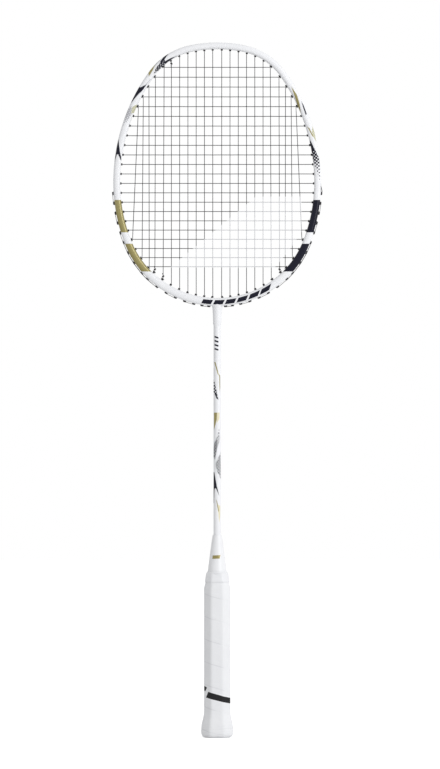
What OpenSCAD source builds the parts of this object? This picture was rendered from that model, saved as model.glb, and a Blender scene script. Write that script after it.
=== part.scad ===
// Badminton racket, strung and gripped. A moulded tubular head on a slender tube
// shaft, joined by a T-piece, with a wooden handle under a wrapped grip.
// Millimetres. +Z runs up the shaft to the tip of the head, +X runs across the
// head and Y is square to the strings. The origin is the centre of the butt's
// end face.

/* [Overall] */
// Length from the butt's end face to the tip of the head
racket_l = 675; // [640:1:680]
// Length of the head's outline, from its tip to the throat
head_l = 256; // [235:1:270]
// Width of the head's outline
head_w = 202; // [185:1:215]
// Distance from the tip down to the head's widest place
widest_drop = 136; // [125:0.5:145]

/* [Head outline] */
// Radius of the crown arc
crown_r = 130; // [110:1:150]
// Half of the angle that the crown arc covers
crown_half_angle = 12; // [8:1:16]
// Half of the angle out to the end of the shoulder arcs
shoulder_end_angle = 54.2; // [46:0.1:62]
// Radius of the throat arc
throat_r = 99; // [94:0.5:105]
// Half of the angle that the throat arc covers
throat_half_angle = 30; // [20:1:40]
// Half of the angle out to the end of the arcs beside the throat
flank_end_angle = 68.4; // [60:0.1:74]

/* [Frame tube] */
// Width of the tube in the plane of the strings
frame_w = 7; // [6:0.1:8.5]
// Depth of the tube, square to the strings
frame_d = 10.6; // [9:0.1:12.5]
// Wall of the tube
frame_wall = 0.9; // [0.7:0.1:1.2]
// Width of the string groove round the upper head
groove_w = 3; // [2.9:0.1:3.6]
// Depth of the string groove
groove_depth = 1.8; // [1.5:0.1:2.1]

/* [Throat and shaft] */
// Outer diameter of the shaft
shaft_d = 7.2; // [6.6:0.1:8.5]
// Wall of the shaft
shaft_wall = 1.2; // [0.9:0.1:1.5]
// Length of the shaft that is glued into the handle
shaft_in_handle = 95; // [70:1:115]
// Length of the neck below the throat
neck_l = 18; // [14:1:24]
// Wall of the neck at its lower lip
neck_lip = 0.4; // [0.3:0.05:0.6]
// Diameter of the neck where it meets the head
neck_top_d = 9.8; // [9.4:0.1:11]
// Half length of the T-piece's crossbar, along the tube
tee_half_l = 18; // [16:1:20]
// Length of the T-piece's stem inside the shaft
tee_stem_l = 42; // [30:1:60]

/* [Strings] */
// Diameter of the string
string_d = 0.7; // [0.6:0.01:0.74]
// Distance between the two main strings at the middle
centre_gap = 8.8; // [8.4:0.1:9.6]
// Distance from the tip down to the highest cross string
cross_top_drop = 23.8; // [22.5:0.1:26]
// Distance from the throat up to the lowest cross string
cross_low_rise = 38; // [36:0.1:40]
// Spacing of the highest two cross strings
cross_pitch = 9.65; // [9.3:0.05:10.2]
// Spacing of the other main strings
main_pitch = 8.06; // [7.7:0.02:8.4]
// How far the lowest hole beside the neck leans outward
first_lean = 3.2; // [2.5:0.1:4]
// How far the next hole leans outward
second_lean = 1; // [0:0.1:1.6]
// Length of the tail left at a knot
knot_tail = 2.4; // [1:0.1:3]

/* [Grommets] */
// Room left in a grommet's bore beside its two strings
bore_room = 0.1; // [0.06:0.01:0.2]
// Wall of a grommet's barrel
barrel_wall = 0.35; // [0.3:0.01:0.5]
// How far a barrel stands out inside the head
barrel_proud = 1; // [0.6:0.1:1.4]
// Length along the frame of the lip round a mouth that takes strings from two ways
lip_l = 3.4; // [2.8:0.1:4]
// Thickness of the collar of a flush grommet
collar_t = 0.5; // [0.4:0.05:0.6]
// Length of the saddle of a raised grommet, along the tube
saddle_l = 3.6; // [3:0.1:4]
// Thickness of the saddle's cheeks, either side of the strings
saddle_cheek = 0.6; // [0.4:0.05:0.9]
// Height of the saddle over the tube
saddle_h = 1.4; // [1.35:0.05:1.8]
// Thickness of the saddle's floor, under the strings
saddle_floor = 0.55; // [0.4:0.05:0.6]

/* [Handle] */
// Height of the handle, where the cone begins
handle_l = 160; // [145:1:175]
// Width of the wooden core, across the head's plane
core_w = 21.8; // [20:0.1:24.5]
// Depth of the wooden core
core_d = 19.6; // [18:0.1:22]
// Corner cut of the core's octagon
core_cut = 5.7; // [5:0.1:6.5]
// How far the butt stands out from the core on each side
flare_out = 3.05; // [2:0.05:4]
// Height of the butt's full width
flare_full_z = 7.5; // [6:0.5:10]
// Height where the butt's slope meets the handle
flare_top_z = 22.6; // [18:0.2:28]
// Length of the taper at the top of the handle
top_taper_l = 16; // [12:0.5:22]
// How far the taper comes in on each side
top_taper_in = 2.3; // [1.5:0.1:3]

/* [Grip] */
// Thickness of the wrapped grip
grip_t = 1.65; // [1.2:0.05:2.2]
// Width of the finishing tape at the top of the grip
tape_w = 8; // [6:0.5:12]
// How far the top edge of the grip lies below the cone
grip_drop = 1; // [0.5:0.1:3]
// Thickness of the finishing tape
tape_t = 0.35; // [0.2:0.05:0.5]
// Height of the bevel round the foot of the grip
foot_bevel_h = 3.9; // [2.5:0.1:5]
// How far that bevel comes in
foot_bevel_in = 3.2; // [2:0.1:3.4]
// Thickness of the butt cap's plate
cap_t = 2.4; // [1.8:0.1:3.5]
// Diameter of the butt cap's spigot
cap_spigot_d = 12; // [9:0.5:14]
// Length of the butt cap's spigot
cap_spigot_l = 8; // [5:0.5:14]

/* [Cone] */
// Height of the cone above the handle
cone_h = 36.5; // [28:0.5:45]
// Diameter of the cone at its foot
cone_foot_d = 18.6; // [17:0.1:20]
// Wall of the cone at its lip, round the shaft
cone_lip_wall = 0.85; // [0.7:0.05:1.4]
// Wall of the cone
cone_wall = 1.3; // [1:0.1:1.6]
// Height of the lip that grips the shaft
cone_lip_h = 6; // [4:0.5:10]

/* [Fits] */
// Gap between parts that are pressed or glued together
fit = 0.05; // [0.02:0.01:0.1]
// Gap between the core and the soft grip on it
soft_fit = 0.1; // [0.05:0.01:0.2]
// Gap between a string and what it lies on
string_lift = 0.16; // [0.13:0.01:0.2]

/* [Hidden] */
$fa = 3;
$fs = 0.25;

// Small overlap that lets one solid cut or join another cleanly
slip = 0.01;
string_sides = 8;

// Levels and sizes of the head
throat_z = racket_l - head_l;
widest_z = racket_l - widest_drop;
half_w = head_w / 2;
section_r = frame_d / 2 + 0.1;
mouth_inset = frame_w + barrel_proud;

// Levels and sizes of the neck, the shaft and the T-piece
neck_bottom = throat_z - neck_l;
shaft_top = throat_z - 2;
shaft_bottom = handle_l - shaft_in_handle;
shaft_socket_r = shaft_d / 2 + fit;
stem_r = shaft_d / 2 - shaft_wall - fit;

// Grommets. Two strings share a bore, and up to four run side by side in a saddle.
grommet_bore = 2 * string_d + bore_room;
barrel_d = grommet_bore + 2 * barrel_wall;
collar_d = groove_w - 0.2;
channel_w = 4 * string_d + 2 * bore_room;
saddle_w = channel_w + 2 * saddle_cheek;

// Heights of a string's middle over the tube, where its grommet is flush and where it is raised
flush_height = fit + collar_t - groove_depth + string_lift + string_d / 2;
raised_height = fit + saddle_floor + string_lift + string_d / 2;

// Strings keep to lanes across the frame's depth. Mains take one side, crosses the other.
lane = string_d / 2 + slip;
lip_gap = 0.3;

// Half length and extra thickness of the bands over the seams between the tube's arcs
seam_lap = 0.4;
seam_more = 0.02;

// Numbers of strings. The mains are counted out from the middle, the crosses down from the tip.
n_mains = 11;
n_crosses = 22;
// Mains up to these have holes of their own at the top and at the bottom
own_top = 6;
own_low = 8;
// The cross strings that share a lower hole with the mains beyond those
low_partners = [22, 21, 19];
// The first cross string whose grommets are raised
first_raised = 14;

function unit(v) = v / norm(v);
function mix(a, b, t) = a + (b - a) * t;
function polar(r, angle) = r * [cos(angle), sin(angle)];
function backwards(list) = [for (i = [len(list) - 1 : -1 : 0]) list[i]];

// ---------------------------------------------------------------- Head outline

// Three tangent arcs from the end of the head to its widest place, for x over 0.
// Each is [centre, radius, start angle, end angle], with y measured out from the
// widest place. The first radius is given, and the other two follow from the
// half width and the angles where the arcs meet.
function end_arcs(length, r1, a, b) = let (
    start = [r1 * sin(a), length - r1 + r1 * cos(a)],
    p = [sin(b) - sin(a), 1 - sin(b)],
    q = [cos(a) - cos(b), cos(b)],
    along = [half_w - start.x, start.y],
    r2 = (along.x * q.y - along.y * p.y) / (p.x * q.y - p.y * q.x),
    r3 = (along.y * p.x - along.x * q.x) / (p.x * q.y - p.y * q.x),
    c1 = [0, length - r1]
) [
    [c1, r1, 90 - a, 90],
    [c1 + (r1 - r2) * [sin(a), cos(a)], r2, 90 - b, 90 - a],
    [[half_w - r3, 0], r3, 0, 90 - b]
];

top_arcs = end_arcs(racket_l - widest_z, crown_r, crown_half_angle, shoulder_end_angle);
low_arcs = end_arcs(widest_z - throat_z, throat_r, throat_half_angle, flank_end_angle);

// [point, outward normal] where the outline, drawn in by an inset, has the height y
function at_height(arcs, y, inset) = [
    for (arc = arcs)
        let (s = (y - arc[0].y) / (arc[1] - inset))
        if (s >= sin(arc[2]) - slip / 1000 && s <= sin(arc[3]) + slip / 1000)
            let (normal = polar(1, asin(min(1, s))))
            [arc[0] + (arc[1] - inset) * normal, normal]
][0];

// The same where the inset outline has the half width x
function at_width(arcs, x, inset) = [
    for (arc = arcs)
        let (c = (x - arc[0].x) / (arc[1] - inset))
        if (c <= cos(arc[2]) + slip / 1000 && c >= cos(arc[3]) - slip / 1000)
            let (normal = polar(1, acos(min(1, c))))
            [arc[0] + (arc[1] - inset) * normal, normal]
][0];

// ---------------------------------------------------------------- Holes

// A place on the outline as [x, z] in the racket's own frame. Way is 1 above the
// widest place and -1 below it.
function placed(point, way) = [point.x, widest_z + way * point.y];
function turned(normal, way) = [normal.x, way * normal.y];

// A hole is [inner mouth, place on the outer face, outward normal there, string height, lipped]
function hole(arcs, way, inner, lean, height, lipped) = let (
    outer_x = (inner[0] + mouth_inset * inner[1]).x + lean,
    square_on = [inner[0] + mouth_inset * inner[1], inner[1]],
    outer = lean == 0 ? square_on : at_width(arcs, outer_x, 0)
) [placed(inner[0], way), placed(outer[0], way), turned(outer[1], way), height, lipped];

function main_x(k) = centre_gap / 2 + main_pitch * (k - 1);
function cross_z(k) = let (
    high = racket_l - cross_top_drop,
    low = throat_z + cross_low_rise,
    gaps = n_crosses - 1,
    easing = cross_pitch * gaps / (high - low) - 1,
    t = (k - 1) / gaps
) high - (high - low) * (t + easing * t * (1 - t));

function crown_hole(k) = let (inner = at_width(top_arcs, main_x(k), mouth_inset))
    hole(top_arcs, 1, inner, 0, flush_height, false);
function throat_hole(k) = let (
    inner = at_width(low_arcs, main_x(k), mouth_inset),
    lean = k == 1 ? first_lean : k == 2 ? second_lean : 0
) hole(low_arcs, -1, inner, lean, raised_height, k > own_low - 2);
function side_hole(k) = let (
    way = cross_z(k) >= widest_z ? 1 : -1,
    arcs = way > 0 ? top_arcs : low_arcs,
    height = k < first_raised ? flush_height : raised_height,
    shared = k <= n_mains - own_top || len(search(k, low_partners)) > 0
) hole(arcs, way, at_height(arcs, abs(cross_z(k) - widest_z), mouth_inset), 0, height, shared);

crown_holes = [for (k = [1 : own_top]) crown_hole(k)];
side_holes = [for (k = [1 : n_crosses]) side_hole(k)];
throat_holes = [for (k = [1 : own_low]) throat_hole(k)];
all_holes = concat(crown_holes, side_holes, throat_holes);

// The groove ends just above the first raised grommet
groove_end_y = widest_z - cross_z(first_raised) - saddle_l / 2 - 0.4;

// Draws its children with +Z along the hole and z = 0 on the outer face
module along_hole(h) {
    way = h[1] - h[0];
    translate([h[1].x, 0, h[1].y])
        rotate([0, atan2(way.x, way.y), 0])
            children();
}

// Draws its children with +Z square to the outer face
module on_face(h) {
    translate([h[1].x, 0, h[1].y])
        rotate([0, atan2(h[2].x, h[2].y), 0])
            children();
}

module drilling(h, r) {
    reach = norm(h[1] - h[0]) + 2;
    along_hole(h)
        translate([0, 0, -reach])
            cylinder(r = r, h = reach + 2);
}

module frame_drillings(holes) {
    for (h = holes) {
        drilling(h, barrel_d / 2 + fit);
    }
}

// ---------------------------------------------------------------- Head frame

module tube_outline(inset) {
    intersection() {
        translate([inset - frame_w, inset - frame_d / 2])
            square([frame_w - 2 * inset, frame_d - 2 * inset]);
        translate([-frame_w / 2, 0])
            circle(section_r - inset);
    }
}

// Section of the tube with x = 0 on its outer side. The grooved one is thicker under its groove.
// A little more thickness can be asked for on every face.
module grooved_section(more = 0) {
    difference() {
        tube_outline(-more);
        intersection() {
            tube_outline(frame_wall + more);
            translate([-frame_w, -frame_d])
                square([frame_w - groove_depth - frame_wall - more, 2 * frame_d]);
        }
        translate([more - groove_depth, more - groove_w / 2])
            square([2 * groove_depth, groove_w - 2 * more]);
    }
}

module plain_section(more = 0) {
    difference() {
        tube_outline(-more);
        tube_outline(frame_wall + more);
    }
}

// Sweeps a section along one arc of the outline, between two angles
module arc_run(arc, from, to, way = 1) {
    translate([arc[0].x, 0, widest_z + way * arc[0].y])
        rotate([90, 0, 0])
            rotate_extrude(angle = to - from, start = way > 0 ? from : -to)
                translate([arc[1], 0])
                    children();
}

// A short band, a hair thicker than the tube, that makes one body of the arcs at a seam
module band(arc, seam, way = 1) {
    lap = asin(seam_lap / arc[1]);
    arc_run(arc, seam - lap, seam + lap, way)
        children();
}

module both_sides() {
    children();
    mirror([1, 0, 0])
        children();
}

groove_end_angle = asin(groove_end_y / low_arcs[2][1]);

module neck_outline() {
    top_r = neck_top_d / 2;
    lip_r = shaft_socket_r + neck_lip;
    join_z = throat_z + 1.6;
    polygon([
        [0, neck_bottom],
        [lip_r, neck_bottom],
        [mix(lip_r, top_r, 0.28), neck_bottom + 0.5 * neck_l],
        [mix(lip_r, top_r, 0.62), neck_bottom + 0.82 * neck_l],
        [top_r, throat_z],
        [top_r, join_z],
        [0, join_z]
    ]);
}

module throat_run() {
    difference() {
        union() {
            arc_run(low_arcs[0], 90 - throat_half_angle, 90 + throat_half_angle, -1)
                tube_outline(0);
            rotate_extrude()
                neck_outline();
        }
        arc_run(low_arcs[0], 90 - throat_half_angle, 90 + throat_half_angle, -1)
            tube_outline(frame_wall);
        translate([0, 0, neck_bottom - 1])
            cylinder(r = shaft_socket_r, h = shaft_top + fit - neck_bottom + 1);
        translate([0, 0, shaft_top])
            cylinder(r = stem_r + fit, h = 4);
    }
}

module head_frame() {
    color([0.95, 0.95, 0.96])
        difference() {
            union() {
                arc_run(top_arcs[0], 90 - crown_half_angle, 90 + crown_half_angle)
                    grooved_section();
                both_sides() {
                    arc_run(top_arcs[1], top_arcs[1][2], top_arcs[1][3])
                        grooved_section();
                    arc_run(top_arcs[2], 0, top_arcs[2][3])
                        grooved_section();
                    arc_run(low_arcs[2], 0, groove_end_angle, -1)
                        grooved_section();
                    arc_run(low_arcs[2], groove_end_angle, low_arcs[2][3], -1)
                        plain_section();
                    arc_run(low_arcs[1], low_arcs[1][2], low_arcs[1][3], -1)
                        plain_section();
                    band(top_arcs[1], top_arcs[1][3])
                        grooved_section(seam_more);
                    band(top_arcs[1], top_arcs[1][2])
                        grooved_section(seam_more);
                    band(top_arcs[2], 0)
                        grooved_section(seam_more);
                    band(low_arcs[2], groove_end_angle, -1)
                        plain_section(seam_more);
                    band(low_arcs[1], low_arcs[1][2], -1)
                        plain_section(seam_more);
                    band(low_arcs[1], low_arcs[1][3], -1)
                        plain_section(seam_more);
                }
                throat_run();
            }
            both_sides()
                frame_drillings(all_holes);
        }
}

// ---------------------------------------------------------------- T-piece and shaft

module t_joint() {
    bar_half_angle = asin(tee_half_l / low_arcs[0][1]);
    color([0.55, 0.56, 0.58])
        difference() {
            union() {
                arc_run(low_arcs[0], 90 - bar_half_angle, 90 + bar_half_angle, -1)
                    tube_outline(frame_wall + fit);
                translate([0, 0, shaft_top - tee_stem_l])
                    cylinder(r = stem_r, h = tee_stem_l + throat_z - shaft_top + frame_w / 2);
            }
            both_sides()
                frame_drillings([throat_holes[0], throat_holes[1]]);
        }
}

module shaft() {
    color([0.94, 0.94, 0.95])
        translate([0, 0, shaft_bottom])
            difference() {
                cylinder(d = shaft_d, h = shaft_top - shaft_bottom);
                translate([0, 0, -1])
                    cylinder(d = shaft_d - 2 * shaft_wall, h = shaft_top - shaft_bottom + 2);
            }
}

module cone_cap() {
    foot = handle_l + fit;
    inner_top = cone_h - cone_lip_h;
    foot_r = cone_foot_d / 2;
    lip_r = shaft_socket_r + cone_lip_wall;
    color([0.95, 0.95, 0.95])
        rotate_extrude()
            polygon([
                [foot_r, foot],
                [foot_r, foot + 1],
                [lip_r, handle_l + cone_h - 0.6],
                [mix(shaft_socket_r, lip_r, 0.53), handle_l + cone_h],
                [shaft_socket_r, handle_l + cone_h],
                [shaft_socket_r, handle_l + inner_top],
                [foot_r - cone_wall, foot + 1],
                [foot_r - cone_wall, foot]
            ]);
}

// ---------------------------------------------------------------- Handle

// How far the core stands out from its own plain octagon at a height
function swell(z) = lookup(z, [
    [0, flare_out - foot_bevel_in],
    [0.3 * foot_bevel_h, flare_out - 0.42 * foot_bevel_in],
    [foot_bevel_h, flare_out],
    [flare_full_z, flare_out],
    [mix(flare_full_z, flare_top_z, 0.32), 0.88 * flare_out],
    [flare_top_z, 0],
    [handle_l - top_taper_l, 0],
    [handle_l, -top_taper_in]
]);
turns = [0, 0.3 * foot_bevel_h, foot_bevel_h, flare_full_z,
    mix(flare_full_z, flare_top_z, 0.32), flare_top_z, handle_l - top_taper_l, handle_l];

// Corners of the octagon at a height, stood out by a further amount and lifted
function octagon(z, out, lift) = let (
    e = swell(z) + out,
    w = core_w / 2 + e,
    d = core_d / 2 + e,
    c = core_cut + e * (2 - sqrt(2)),
    h = z + lift
) [
    [w, c - d, h], [w, d - c, h], [w - c, d, h], [c - w, d, h],
    [-w, d - c, h], [-w, c - d, h], [c - w, -d, h], [w - c, -d, h]
];

// The handle's shape between two heights, as one solid with flat sides. It can be
// drawn out beyond both ends, to cut a clean opening.
module handle_shape(low, high, out, beyond = 0) {
    levels = concat(
        beyond > 0 ? [[low, -beyond]] : [],
        [[low, 0]],
        [for (z = turns) if (z > low + slip && z < high - slip) [z, 0]],
        [[high, 0]],
        beyond > 0 ? [[high, beyond]] : []
    );
    last = 8 * (len(levels) - 1);
    polyhedron(
        points = [for (level = levels) each octagon(level[0], out, level[1])],
        faces = concat(
            [[for (j = [0 : 7]) j]],
            [for (i = [0 : len(levels) - 2], j = [0 : 7])
                let (a = 8 * i + j, b = 8 * i + (j + 1) % 8)
                [a, a + 8, b + 8, b]],
            [[for (j = [7 : -1 : 0]) last + j]]
        )
    );
}

module handle_core() {
    color([0.80, 0.66, 0.45])
        difference() {
            handle_shape(cap_t + fit, handle_l, 0);
            translate([0, 0, shaft_bottom - fit])
                cylinder(r = shaft_socket_r, h = handle_l - shaft_bottom + 1);
            translate([0, 0, cap_t - 1])
                cylinder(d = cap_spigot_d + 2 * fit, h = cap_spigot_l + 1 + fit);
        }
}

module butt_cap() {
    color([0.93, 0.93, 0.93])
        union() {
            handle_shape(0, cap_t, 0);
            translate([0, 0, cap_t - 0.5])
                cylinder(d = cap_spigot_d, h = cap_spigot_l + 0.5);
        }
}

grip_top = handle_l - grip_drop;

module base_grip() {
    color([0.93, 0.93, 0.94])
        difference() {
            handle_shape(0, grip_top, soft_fit + grip_t);
            handle_shape(0, grip_top, soft_fit, 1);
        }
}

module finishing_tape() {
    inner = soft_fit + grip_t + fit;
    color([0.95, 0.95, 0.96])
        difference() {
            handle_shape(grip_top - tape_w, grip_top, inner + tape_t);
            handle_shape(grip_top - tape_w, grip_top, inner, 1);
        }
}

// ---------------------------------------------------------------- Grommets

// The tube of a grommet, with z = 0 on the outer face, and the lip round a shared mouth
module barrel(h, top) {
    reach = norm(h[1] - h[0]);
    out = (lip_l - barrel_d) / 2;
    lip_h = barrel_proud - 2 * fit;
    flat_w = 0.96 * barrel_d;
    translate([0, 0, -reach]) {
        cylinder(d = barrel_d, h = reach + top);
        if (h[4]) {
            translate([-out, -flat_w / 2, 0])
                cube([2 * out, flat_w, lip_h]);
            for (x = [-out, out])
                translate([x, 0, 0])
                    cylinder(d = barrel_d, h = lip_h);
        }
    }
}

// A tube with a thin collar that lies on the groove's floor
module flush_grommet(h) {
    reach = norm(h[1] - h[0]);
    along_hole(h)
        difference() {
            union() {
                barrel(h, collar_t / 2 - groove_depth);
                translate([0, 0, fit - groove_depth])
                    cylinder(d = collar_d, h = collar_t);
            }
            translate([0, 0, -reach - 1])
                cylinder(d = grommet_bore, h = reach + 2);
        }
}

// A tube under a saddle that carries the strings clear of the frame
module raised_grommet(h) {
    reach = norm(h[1] - h[0]);
    difference() {
        union() {
            along_hole(h)
                barrel(h, 0.1);
            on_face(h)
                translate([-saddle_l / 2, -saddle_w / 2, fit])
                    cube([saddle_l, saddle_w, saddle_h]);
        }
        on_face(h)
            translate([-saddle_l, -channel_w / 2, fit + saddle_floor])
                cube([2 * saddle_l, channel_w, saddle_h]);
        along_hole(h)
            translate([0, 0, -reach - 1])
                cylinder(d = grommet_bore, h = reach + 3);
    }
}

module grommets(first, last) {
    color([0.16, 0.16, 0.17])
        for (i = [first : last]) {
            if (all_holes[i][3] == flush_height)
                flush_grommet(all_holes[i]);
            else
                raised_grommet(all_holes[i]);
        }
}

module left() {
    mirror([1, 0, 0])
        children();
}

// Numbers of the holes, counted round one side from the tip
last_crown = own_top - 1;
last_shoulder = last_crown + n_mains - own_top;
last_side = own_top + first_raised - 2;
last_flank = own_top + n_crosses - 1;
last_throat = len(all_holes) - 1;

module crown_grommets_right() { grommets(0, last_crown); }
module crown_grommets_left() { left() crown_grommets_right(); }
module shoulder_grommets_right() { grommets(last_crown + 1, last_shoulder); }
module shoulder_grommets_left() { left() shoulder_grommets_right(); }
module side_grommets_right() { grommets(last_shoulder + 1, last_side); }
module side_grommets_left() { left() side_grommets_right(); }
module flank_grommets_right() { grommets(last_side + 1, last_flank); }
module flank_grommets_left() { left() flank_grommets_right(); }
module throat_grommets_right() { grommets(last_flank + 1, last_throat); }
module throat_grommets_left() { left() throat_grommets_right(); }

// ---------------------------------------------------------------- Strings

// A string bends just clear of a hole's mouth, and over its grommet on the outside
function lip(h, side, y) = let (p = h[0] - lip_gap * unit(h[1] - h[0])) [side * p.x, y, p.y];
function crest(h, side, y) = let (
    way = unit(h[1] - h[0]),
    p = h[1] + way * h[3] / (way * h[2])
) [side * p.x, y, p.y];

// The bend where a string has cleared the upper end of a saddle
function saddle_end(h, side, y) = let (
    p = h[1] + h[3] * h[2] + (saddle_l / 2 + lip_gap) * [-h[2].y, h[2].x]
) [side * p.x, y, p.y];

function main_top(k) = k <= own_top ? crown_holes[k - 1] : side_holes[k - own_top - 1];
function main_low(k) = k <= own_low ? throat_holes[k - 1]
    : side_holes[low_partners[k - own_low - 1] - 1];

// One main from its lower hole to its upper one, with the bends outside both
function main_run(k, side) = [
    crest(main_low(k), side, lane), lip(main_low(k), side, lane),
    lip(main_top(k), side, lane), crest(main_top(k), side, lane)
];

// One cross from the left hole to the right one
function cross_run(k) = let (h = side_holes[k - 1]) [
    crest(h, -1, -lane), lip(h, -1, -lane), lip(h, 1, -lane), crest(h, 1, -lane)
];

// Two turns round the string beside it, and a short tail
knot_steps = 12;
knot_pitch = string_d + 0.1;
function knot(h, side, up, tail) = let (
    start = lip(h, side, lane),
    r = 2 * lane / cos(180 / knot_steps),
    turns_end = start + [0, -r, up * (1 + 2 * knot_pitch)]
) concat(
    [for (i = [0 : 2 * knot_steps]) let (a = side * 360 * i / knot_steps)
        start + [r * sin(a), -r * cos(a), up * (1 + knot_pitch * i / knot_steps)]],
    [turns_end + tail * unit([side * 0.7, -0.2, up * 0.7])]
);

// The tie-off of the mains on one side, from the knot's hole back to the last main's hole.
// It passes over three holes in the outermost lane.
function main_tie_off(side) = let (
    end = throat_holes[own_low - 1],
    last = crest(side_holes[n_crosses - 1], side, 3 * lane),
    near = crest(end, side, -lane)
) concat(
    backwards(knot(end, side, 1, knot_tail)),
    [lip(end, side, -lane), near],
    [mix(near, [last.x, -lane, last.z], 0.25), mix([near.x, 3 * lane, near.z], last, 0.75)],
    [for (k = [n_crosses : -1 : low_partners[2] + 1]) crest(side_holes[k - 1], side, 3 * lane)]
);

main_route = concat(
    main_tie_off(-1),
    [for (k = [n_mains : -1 : 1]) each k % 2 == 1 ? main_run(k, -1) : backwards(main_run(k, -1))],
    [for (k = [1 : n_mains]) each k % 2 == 1 ? backwards(main_run(k, 1)) : main_run(k, 1)],
    backwards(main_tie_off(1))
);

// The crosses start from a knot at the top and end in one at the bottom, both on the left
cross_start = crown_holes[own_top - 1];
cross_over = throat_holes[own_low - 1];
cross_end = throat_holes[own_low - 2];
cross_last = crest(side_holes[n_crosses - 1], -1, -lane);
cross_out = crest(cross_over, -1, -3 * lane);
cross_route = concat(
    backwards(knot(cross_start, -1, -1, 0.6 * knot_tail)),
    [lip(cross_start, -1, -lane), crest(cross_start, -1, -lane)],
    [for (k = [1 : first_raised - 1]) each k % 2 == 1 ? cross_run(k) : backwards(cross_run(k))],
    [saddle_end(side_holes[first_raised - 1], 1, -lane)],
    [for (k = [first_raised : n_crosses]) each k % 2 == 1 ? cross_run(k) : backwards(cross_run(k))],
    [mix(cross_last, [cross_out.x, -lane, cross_out.z], 0.25),
        mix([cross_last.x, -3 * lane, cross_last.z], cross_out, 0.75), cross_out],
    [mix(cross_out, crest(cross_end, -1, -3 * lane), 0.3),
        crest(cross_end, -1, -lane), lip(cross_end, -1, -lane)],
    knot(cross_end, -1, 1, knot_tail)
);

// Turns a side vector by the bend from one stretch of a route to the next
function carried(u, a, b) = let (axis = cross(a, b), s = norm(axis), c = a * b)
    s < slip / 1000 ? u : let (k = axis / s) u * c + cross(k, u) * s + k * (k * u) * (1 - c);

// Rings of points round a route, mitred at every bend
function rings(route) = let (
    n = len(route),
    ways = [for (i = [0 : n - 2]) unit(route[i + 1] - route[i])],
    first = unit(cross([0, 1, 0], ways[0])),
    sides = [
        for (
            i = 0, u = first;
            i < n - 1;
            i = i + 1, u = i < n - 1 ? carried(u, ways[i - 1], ways[i]) : u
        ) u
    ]
) [
    for (i = [0 : n - 1])
        let (
            t = ways[max(0, i - 1)],
            u = sides[max(0, i - 1)],
            v = cross(t, u),
            mitre = i == 0 || i == n - 1 ? t : unit(t + ways[i])
        )
        for (j = [0 : string_sides - 1])
            let (o = string_d / 2 * (cos(360 * j / string_sides) * u + sin(360 * j / string_sides) * v))
            route[i] + o - t * (o * mitre) / (t * mitre)
];

module string_along(route) {
    m = string_sides;
    last = m * (len(route) - 1);
    polyhedron(
        points = rings(route),
        faces = concat(
            [[for (j = [0 : m - 1]) j]],
            [for (i = [0 : len(route) - 2], j = [0 : m - 1], half = [0, 1])
                let (a = m * i + j, b = m * i + (j + 1) % m)
                half == 0 ? [a, a + m, b + m] : [a, b + m, b]],
            [[for (j = [m - 1 : -1 : 0]) last + j]]
        )
    );
}

module main_string() {
    color([0.93, 0.93, 0.93])
        string_along(main_route);
}

module cross_string() {
    color([0.93, 0.93, 0.93])
        string_along(cross_route);
}

head_frame();
t_joint();
shaft();
cone_cap();
handle_core();
butt_cap();
base_grip();
finishing_tape();
crown_grommets_left();
crown_grommets_right();
shoulder_grommets_left();
shoulder_grommets_right();
side_grommets_left();
side_grommets_right();
flank_grommets_left();
flank_grommets_right();
throat_grommets_left();
throat_grommets_right();
main_string();
cross_string();
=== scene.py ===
import math
import bmesh
import bpy
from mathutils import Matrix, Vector


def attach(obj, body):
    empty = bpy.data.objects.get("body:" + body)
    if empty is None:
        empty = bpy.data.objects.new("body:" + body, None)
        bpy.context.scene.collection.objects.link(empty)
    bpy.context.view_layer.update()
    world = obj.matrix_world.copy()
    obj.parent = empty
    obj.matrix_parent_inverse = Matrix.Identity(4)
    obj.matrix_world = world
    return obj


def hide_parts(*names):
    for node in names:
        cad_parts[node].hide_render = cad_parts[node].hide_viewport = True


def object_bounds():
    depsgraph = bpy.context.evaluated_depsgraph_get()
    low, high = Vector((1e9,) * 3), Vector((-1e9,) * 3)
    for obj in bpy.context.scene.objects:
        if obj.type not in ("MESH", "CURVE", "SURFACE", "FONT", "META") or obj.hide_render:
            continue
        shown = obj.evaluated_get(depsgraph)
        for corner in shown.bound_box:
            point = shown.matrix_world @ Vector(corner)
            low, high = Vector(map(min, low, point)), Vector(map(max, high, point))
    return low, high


# The strung racket stands upright on its butt. +Z runs up the shaft to the tip
# of the head, +X across the head, and Y is square to the strings.
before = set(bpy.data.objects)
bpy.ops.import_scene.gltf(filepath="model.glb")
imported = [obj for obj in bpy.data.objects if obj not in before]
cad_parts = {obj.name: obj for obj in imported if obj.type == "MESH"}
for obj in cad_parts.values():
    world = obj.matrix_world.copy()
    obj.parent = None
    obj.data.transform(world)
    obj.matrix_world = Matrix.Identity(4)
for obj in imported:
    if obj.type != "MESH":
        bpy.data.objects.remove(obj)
cad_low, cad_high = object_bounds()
mm = 0.001
scene = bpy.context.scene

# ------------ Camera
# A long lens, level with the middle of the racket and square to its strings,
# so the head and the grip show without perspective.
view_gap = 4.0
view_tall = 0.7475
camera = bpy.data.objects.new("camera", bpy.data.cameras.new("camera"))
scene.collection.objects.link(camera)
camera.location = (0.0027, -view_gap, 0.5 * cad_high.z + 0.0052)
camera.rotation_euler = (math.pi / 2, 0, 0)
camera.data.lens = camera.data.sensor_width * view_gap / view_tall
camera.data.clip_end = 20
scene.camera = camera
scene.view_settings.view_transform = "Standard"


# ------------ Floor and light
# A matt white studio floor under a white room, a little brighter on the right,
# with one large soft light from the front right. The floor keeps the shadow.
def linear(code, alpha=1.0):
    """A colour written as sRGB hex, in linear light."""
    parts = [int(code[i:i + 2], 16) / 255 for i in (1, 3, 5)]
    return [c / 12.92 if c <= 0.04045 else ((c + 0.055) / 1.055) ** 2.4 for c in parts] + [alpha]


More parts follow.
